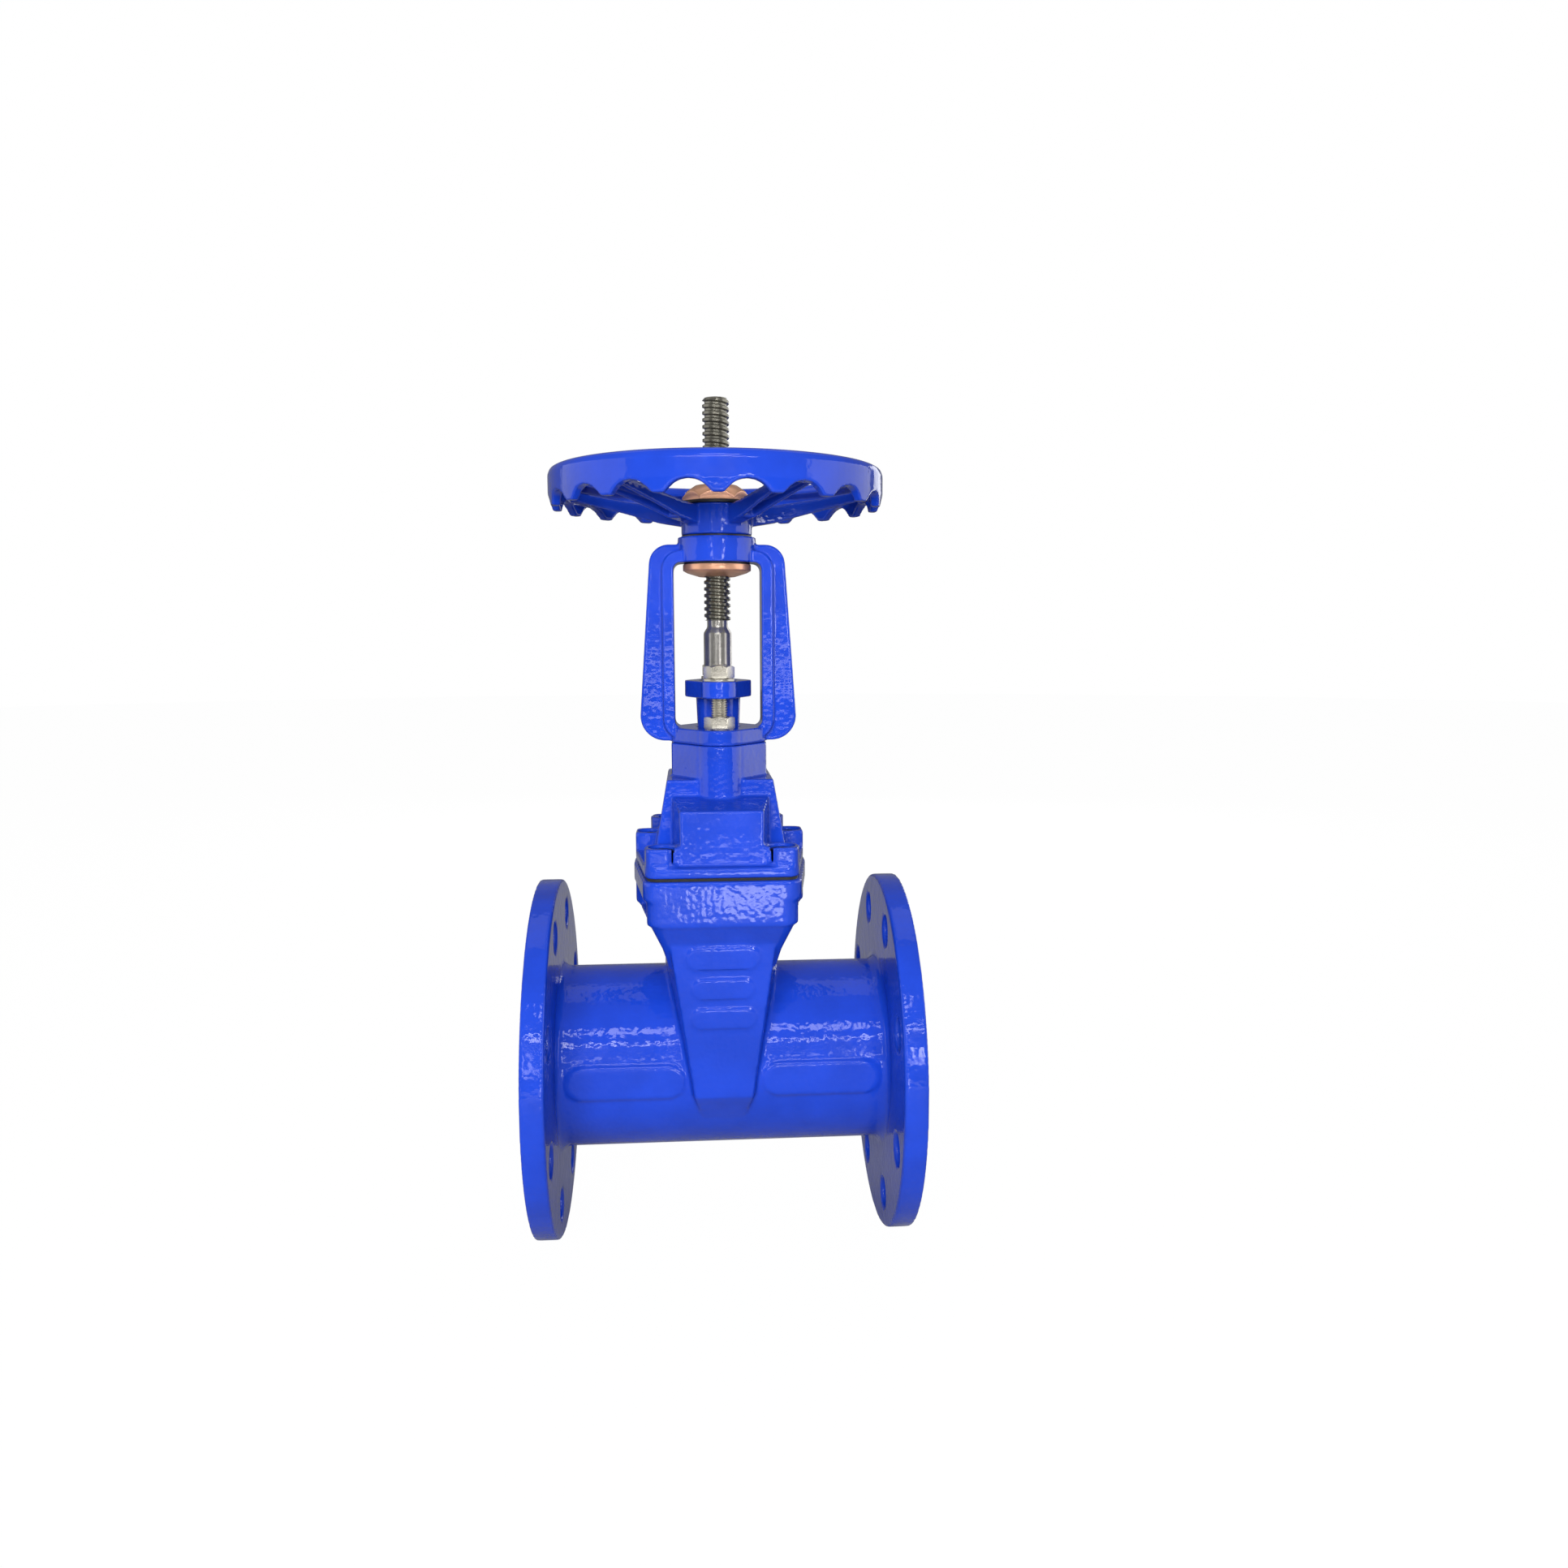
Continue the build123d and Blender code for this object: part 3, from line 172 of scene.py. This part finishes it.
def moulded(name, colour, rough, peel_scale=900.0, depth=0.00003):
    """Rubber or plastic with a fine grain."""
    material, tree, principled, coords = shader(name)
    tint = noise(tree, coords, 150.0, 3.0)
    lighter = tuple(min(1.0, 1.35 * c) for c in colour)
    tree.links.new(ramp(tree, tint, [(0.35, colour), (0.7, lighter)]), principled.inputs["Base Color"])
    grain = noise(tree, coords, peel_scale, 3.0)
    tree.links.new(remap(tree, grain, rough - 0.06, rough + 0.08), principled.inputs["Roughness"])
    tree.links.new(bump(tree, [(grain, depth)]), principled.inputs["Normal"])
    return material


BLUE = (0.009, 0.049, 0.50)
finishes = {
    "blue_paint": paint("blue_epoxy", BLUE, 1.0),
    "wheel_paint": paint("blue_epoxy_wheel", BLUE, 0.45),
    "bronze": turned_metal("turned_bronze", (0.95, 0.50, 0.31), 0.30, 1400.0, 0.7),
    "stem_steel": turned_metal("turned_steel", (0.52, 0.50, 0.47), 0.22, 1400.0, 0.9),
    "thread_steel": turned_metal("thread_steel", (0.25, 0.24, 0.20), 0.26, 1400.0, 0.9),
    "plated_steel": turned_metal("plated_steel", (0.60, 0.57, 0.49), 0.24, 900.0, 0.8),
    "dark_steel": turned_metal("black_oxide", (0.05, 0.05, 0.055), 0.42, 900.0),
    "iron": turned_metal("cast_iron", (0.18, 0.18, 0.185), 0.55, 150.0),
    "black_rubber": moulded("black_rubber", (0.012, 0.012, 0.013), 0.55),
    "graphite": moulded("graphite_packing", (0.02, 0.02, 0.02), 0.6, 600.0, 0.0001),
    "black_plastic": moulded("black_polymer", (0.012, 0.012, 0.014), 0.4),
    "white_plastic": moulded("white_polymer", (0.70, 0.69, 0.64), 0.4),
}
slot_of = {row["node"]: row["material_slot"] for row in frame["record"]["subparts"]}
body_of = {n: b for b, members in frame["record"]["behaviour"]["bodies"].items() for n in members}


def finish_piece(piece, node):
    """Gives a new piece the finish of its CAD node's material slot and that node's body, and hides the
    CAD node.
    """
    piece.data.materials.clear()
    piece.data.materials.append(finishes[slot_of[node]])
    for polygon in piece.data.polygons:
        polygon.use_smooth = True
    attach(piece, body_of[node])
    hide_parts(node)


for node, thing in nodes.items():
    thing.data.materials.clear()
    thing.data.materials.append(finishes[slot_of[node]])


# ---------------------------------------------------------------- castings
def welded_copy(node, name):
    """A copy of a CAD node's mesh with its seams joined, as a new object."""
    mesh = bpy.data.meshes.new(name)
    work = bmesh.new()
    work.from_mesh(nodes[node].data)
    bmesh.ops.remove_doubles(work, verts=work.verts, dist=1e-6)
    work.to_mesh(mesh)
    work.free()
    piece = bpy.data.objects.new(name, mesh)
    scene.collection.objects.link(piece)
    return piece


def apply_modifiers(piece):
    """Turns the piece's modifiers into its mesh."""
    graph = bpy.context.evaluated_depsgraph_get()
    made = bpy.data.meshes.new_from_object(piece.evaluated_get(graph))
    old = piece.data
    piece.modifiers.clear()
    piece.data = made
    bpy.data.meshes.remove(old)
    made.name = piece.name


def casting(node, name, voxel, rounding, most_faces=190000):
    """A cast piece with soft edges: the CAD shape, rebuilt finely and smoothed."""
    piece = welded_copy(node, name)
    remesh = piece.modifiers.new("remesh", "REMESH")
    remesh.mode = "VOXEL"
    remesh.voxel_size = voxel
    smooth = piece.modifiers.new("smooth", "SMOOTH")
    smooth.factor = 0.5
    smooth.iterations = rounding
    apply_modifiers(piece)
    triangles = 2 * len(piece.data.polygons)
    if triangles > most_faces:
        decimate = piece.modifiers.new("decimate", "DECIMATE")
        decimate.ratio = most_faces / triangles
        apply_modifiers(piece)
    finish_piece(piece, node)
    return piece


def keep_hollow(piece, node, half_x, set_back):
    """Puts the walls that face the valve's middle line back on the CAD surface, a little behind it."""
    exact = bmesh.new()
    exact.from_mesh(nodes[node].data)
    surface = BVHTree.FromBMesh(exact)
    for vertex in piece.data.vertices:
        if abs(vertex.co.x) < half_x:
            place, normal, _, _ = surface.find_nearest(vertex.co)
            if normal.x * place.x + normal.y * place.y < -1e-5:
                vertex.co = place - normal * set_back
    exact.free()


def pressed(node, name, depth):
    """A soft or sliding piece of the gate, drawn a little inside its CAD shape."""
    piece = welded_copy(node, name)
    inward = piece.modifiers.new("inward", "DISPLACE")
    inward.mid_level = 0.0
    inward.strength = -depth
    apply_modifiers(piece)
    finish_piece(piece, node)
    piece.data.set_sharp_from_angle(angle=radians(38))
    return piece


def machined(node, name, width):
    """A machined piece: the CAD shape with small broken edges."""
    piece = welded_copy(node, name)
    bevel = piece.modifiers.new("bevel", "BEVEL")
    bevel.width = width
    bevel.segments = 2
    bevel.limit_method = "ANGLE"
    bevel.angle_limit = radians(35)
    apply_modifiers(piece)
    finish_piece(piece, node)
    piece.data.set_sharp_from_angle(angle=radians(38))
    return piece


keep_hollow(casting("body", "body_casting", 0.00105, 6), "body", 0.024, 0.00015)
pressed("gate_rubber", "gate_rubber_pressed", 0.0006)
pressed("gate_guides", "gate_guide_shoes", 0.0004)
casting("bonnet", "bonnet_casting", 0.00085, 8)
casting("yoke", "yoke_casting", 0.00065, 10)
casting("gland_flange", "gland_casting", 0.0005, 8)
casting("handwheel", "handwheel_casting", 0.00075, 6)
for node, width in (
    ("gland_nuts", 0.0003),
    ("yoke_nuts", 0.0003),
    ("stem_nut", 0.0003),
    ("wheel_nut", 0.0006),
    ("wheel_washer", 0.0003),
    ("bonnet_screws", 0.0002),
    ("gland_washers", 0.0002),
):
    machined(node, node + "_finished", width)


# ---------------------------------------------------------------- threads
TURN_STEPS = 72


def plain_row(r, z):
    """One level row, whose last point lies on its first."""
    return [(r, z)] * (TURN_STEPS + 1)


def thread_rows(r_out, depth, pitch, z_low, z_high, hand, profile, chamfer):
    """Rows that climb as a helix between two heights; hand is 1 for right, -1 for left."""
    rows = []
    count = int((z_high - z_low) / pitch) + 3
    for turn in range(-1, count):
        for along, dip in profile:
            row = []
            for step in range(TURN_STEPS + 1):
                z = z_low + (turn + along + hand * step / TURN_STEPS) * pitch
                z = min(max(z, z_low), z_high)
                r = r_out - depth * dip
                r = min(r, r_out - chamfer + max(0.0, z_high - z))
                row.append((r, z))
            rows.append(row)
    return rows


def helix_piece(name, centre, rows):
    """A rod through rows of (radius, height); a helical row ends where the next turn's starts."""
    mesh = bpy.data.meshes.new(name)
    work = bmesh.new()
    made = []
    for row in rows:
        verts = []
        for step in range(TURN_STEPS + 1):
            r, z = row[step]
            a = 2 * pi * step / TURN_STEPS
            verts.append(work.verts.new((centre[0] + r * cos(a), centre[1] + r * sin(a), z)))
        made.append(verts)
    for low, high in zip(made, made[1:]):
        for step in range(TURN_STEPS):
            quad = (low[step], low[step + 1], high[step + 1], high[step])
            work.faces.new(quad)
    work.faces.new(list(reversed(made[0][:-1])))
    work.faces.new(made[-1][:-1])
    bmesh.ops.remove_doubles(work, verts=work.verts, dist=4e-6)
    bmesh.ops.dissolve_degenerate(work, edges=work.edges, dist=1e-6)
    bmesh.ops.recalc_face_normals(work, faces=work.faces)
    work.to_mesh(mesh)
    work.free()
    piece = bpy.data.objects.new(name, mesh)
    scene.collection.objects.link(piece)
    return piece


# thread profiles, as (share of the pitch, share of the depth)
TRAPEZOID = [
    (0.0, 0.0),
    (0.34, 0.0),
    (0.40, 0.12),
    (0.50, 0.88),
    (0.56, 1.0),
    (0.80, 1.0),
    (0.86, 0.88),
    (0.96, 0.12),
]
VEE = [(0.0, 0.0), (0.12, 0.0), (0.48, 0.9), (0.56, 1.0), (0.64, 0.9)]

# stem: shank, plain length, shoulder, relief neck and left-hand trapezoidal thread
stem_low, stem_high = foot("stem"), top("stem")
pipe_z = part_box("body")[0][2] + 0.110
SHANK_R, STEM_R, THREAD_R, NECK_R = 0.0070, 0.0085, 0.0080, 0.0063
THREAD_FOOT = pipe_z + 0.2710
levels = [
    (SHANK_R, stem_low),
    (SHANK_R, top("gate_nut")),
    (STEM_R, top("gate_nut")),
    (STEM_R, pipe_z + 0.2625),
    (0.0083, pipe_z + 0.2635),
    (0.0066, pipe_z + 0.2662),
    (NECK_R, pipe_z + 0.2672),
    (NECK_R, pipe_z + 0.2705),
]
below = [plain_row(r, z) for r, z in levels]
thread = thread_rows(THREAD_R, 0.00135, 0.004, THREAD_FOOT, stem_high, -1, TRAPEZOID, 0.0012)
stem = helix_piece("stem_threaded", (0, 0), below + thread)
finish_piece(stem, "stem")
stem.data.materials.append(finishes["thread_steel"])
for polygon in stem.data.polygons:
    polygon.material_index = int(polygon.center.z > THREAD_FOOT)
stem.data.set_sharp_from_angle(angle=radians(32))

# gland studs with a right-hand metric thread
STUD_R = 0.0049
stud_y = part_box("gland_studs")[1][1] - 0.005
for side, word in ((-1, "front"), (1, "back")):
    low, high = foot("gland_studs"), top("gland_studs")
    thread = thread_rows(STUD_R, 0.0008, 0.0015, low + 0.0005, high, 1, VEE, 0.0007)
    stud = helix_piece("gland_stud_" + word, (0, side * stud_y), [plain_row(STUD_R, low)] + thread)
    finish_piece(stud, "gland_studs")
    stud.data.set_sharp_from_angle(angle=radians(40))


# ---------------------------------------------------------------- floor, light, camera
def glow(name, strength, albedo=0.0):
    """A material that gives off white light, with an optional matt surface under it."""
    material, tree, principled, coords = shader(name)
    principled.inputs["Base Color"].default_value = (albedo, albedo, albedo, 1.0)
    principled.inputs["Roughness"].default_value = 1.0
    principled.inputs["Specular IOR Level"].default_value = 0.0
    principled.inputs["Emission Color"].default_value = (1.0, 1.0, 1.0, 1.0)
    principled.inputs["Emission Strength"].default_value = strength
    return material


def stage_mesh(name, verts, faces, material):
    """A piece of the studio, which isn't part of the object."""
    mesh = bpy.data.meshes.new(name)
    mesh.from_pydata(verts, [], faces)
    thing = bpy.data.objects.new(name, mesh)
    scene.collection.objects.link(thing)
    mesh.materials.append(material)
    return thing


def card(name, centre, facing, width, height, radiance):
    """A flat card that shows only in reflections."""
    normal = (Vector(facing) - Vector(centre)).normalized()
    across = normal.cross(Vector((0, 0, 1))).normalized()
    if across.length < 0.5:
        across = Vector((1, 0, 0))
    rise = across.cross(normal)
    half_w, half_h = across * width / 2, rise * height / 2
    mid = Vector(centre)
    corners = [mid - half_w - half_h, mid + half_w - half_h, mid + half_w + half_h, mid - half_w + half_h]
    board = stage_mesh(name, corners, [(0, 1, 2, 3)], glow(name + "_glow", radiance))
    board.visible_camera = False
    board.visible_diffuse = False
    board.visible_shadow = False
    return board


FLOOR_HALF = 8.0
floor_z = cad_low.z - 0.0002
floor_corners = [(x * FLOOR_HALF, y * FLOOR_HALF) for x, y in ((-1, -1), (1, -1), (1, 1), (-1, 1))]
floor = stage_mesh(
    "floor",
    [(x, y, floor_z) for x, y in floor_corners],
    [(0, 1, 2, 3)],
    glow("pale_floor", 0.985, 0.02),
)
floor.visible_diffuse = False
floor.visible_glossy = False
floor.visible_shadow = False

# what the floor sends back at the object, a little duller than it looks
bounce = stage_mesh(
    "floor_bounce",
    [(x, y, floor_z - 0.0002) for x, y in floor_corners],
    [(0, 1, 2, 3)],
    glow("floor_grey", 0.0, 0.38),
)
bounce.visible_camera = False

# the pale room round the set is a big faceted drum that only the camera sees
ROOM_SIDES = 48
ROOM_R = 7.5
ROOM_HEIGHTS = (-3.0, 9.0)
room_rows = []
for height in ROOM_HEIGHTS:
    for side in range(ROOM_SIDES):
        a = 2 * pi * side / ROOM_SIDES
        room_rows.append((ROOM_R * cos(a), ROOM_R * sin(a), height))
room_faces = []
for side in range(ROOM_SIDES):
    following = (side + 1) % ROOM_SIDES
    room_faces.append((side, following, ROOM_SIDES + following, ROOM_SIDES + side))
room_faces.append(tuple(range(ROOM_SIDES, 2 * ROOM_SIDES)))
room = stage_mesh("room", room_rows, room_faces, glow("room_white", 1.0))
room.visible_diffuse = False
room.visible_glossy = False
room.visible_shadow = False

world = bpy.data.worlds.new("studio")
world.use_nodes = True
world.node_tree.nodes["Background"].inputs["Color"].default_value = (1.0, 1.0, 1.0, 1.0)
world.node_tree.nodes["Background"].inputs["Strength"].default_value = 0.24
scene.world = world


def softbox(name, place, target, width, height, power, glossy=True):
    """A soft rectangular light that faces a point and isn't seen itself."""
    data = bpy.data.lights.new(name, "AREA")
    data.shape = "RECTANGLE"
    data.size = width
    data.size_y = height
    data.energy = power
    lamp = bpy.data.objects.new(name, data)
    lamp.location = place
    direction = Vector(target) - Vector(place)
    lamp.rotation_euler = direction.to_track_quat("-Z", "Y").to_euler()
    lamp.visible_camera = False
    lamp.visible_glossy = glossy
    scene.collection.objects.link(lamp)
    return lamp


softbox("front_key", (-0.15, -1.9, 0.72), (0, 0, 0.25), 1.5, 0.7, 55.0, glossy=False)
softbox("back_fill", (0.3, 1.9, 0.8), (0, 0, 0.25), 1.5, 0.7, 18.0, glossy=False)
softbox("front_strip", (0.0, -1.3, 0.83), (0, 0, 0.16), 1.3, 0.035, 1.6)
softbox("overhead", (0.0, 0.25, 1.5), (0, 0, 0.2), 1.6, 0.7, 1.5)

card("left_card", (-1.8, 0.1, 0.5), (0, 0, 0.2), 2.2, 1.4, 1.0)
card("right_card", (1.8, 0.1, 0.5), (0, 0, 0.2), 2.2, 1.4, 1.5)
card("back_right_card", (1.0, 1.2, 0.55), (0, 0, 0.3), 0.5, 0.9, 2.4)
card("floor_card", (0.0, 1.1, floor_z + 0.0001), (0.0, 1.1, 1.0), 3.0, 1.8, 0.30)
card("sparkle", (0.0, -1.3, 0.30), (0, 0, 0.15), 0.9, 0.05, 4.0)
card("low_window", (0.075, -0.95, 0.05), (0.02, 0, 0.22), 0.16, 0.08, 7.0)
card("left_window", (-0.36, -1.3, 0.43), (0, 0, 0.2), 0.10, 0.20, 4.0)
card("right_window", (0.40, -1.3, 0.43), (0, 0, 0.2), 0.15, 0.22, 9.0)
card("high_window", (0.03, -1.1, 1.15), (0, 0, 0.45), 0.5, 0.16, 5.0)

camera_data = bpy.data.cameras.new("camera")
camera_data.sensor_width = 36.0
camera_data.lens = 28.226
camera_data.clip_start = 0.01
camera_data.clip_end = 50.0
camera = bpy.data.objects.new("camera", camera_data)
scene.collection.objects.link(camera)
CAMERA_PLACE = (-0.01706, -0.75813, 0.37008)
yaw, pitch, roll = radians(-4.336), radians(-6.777), radians(0.182)
look = Vector((-sin(yaw) * cos(pitch), cos(yaw) * cos(pitch), sin(pitch)))
right = Vector((cos(yaw), sin(yaw), 0.0))
up = right.cross(look)
right, up = right * cos(roll) - up * sin(roll), up * cos(roll) + right * sin(roll)
turn = Matrix((right, up, -look)).transposed()
camera.matrix_world = Matrix.Translation(CAMERA_PLACE) @ turn.to_4x4()
scene.camera = camera
scene.view_settings.view_transform = "Standard"
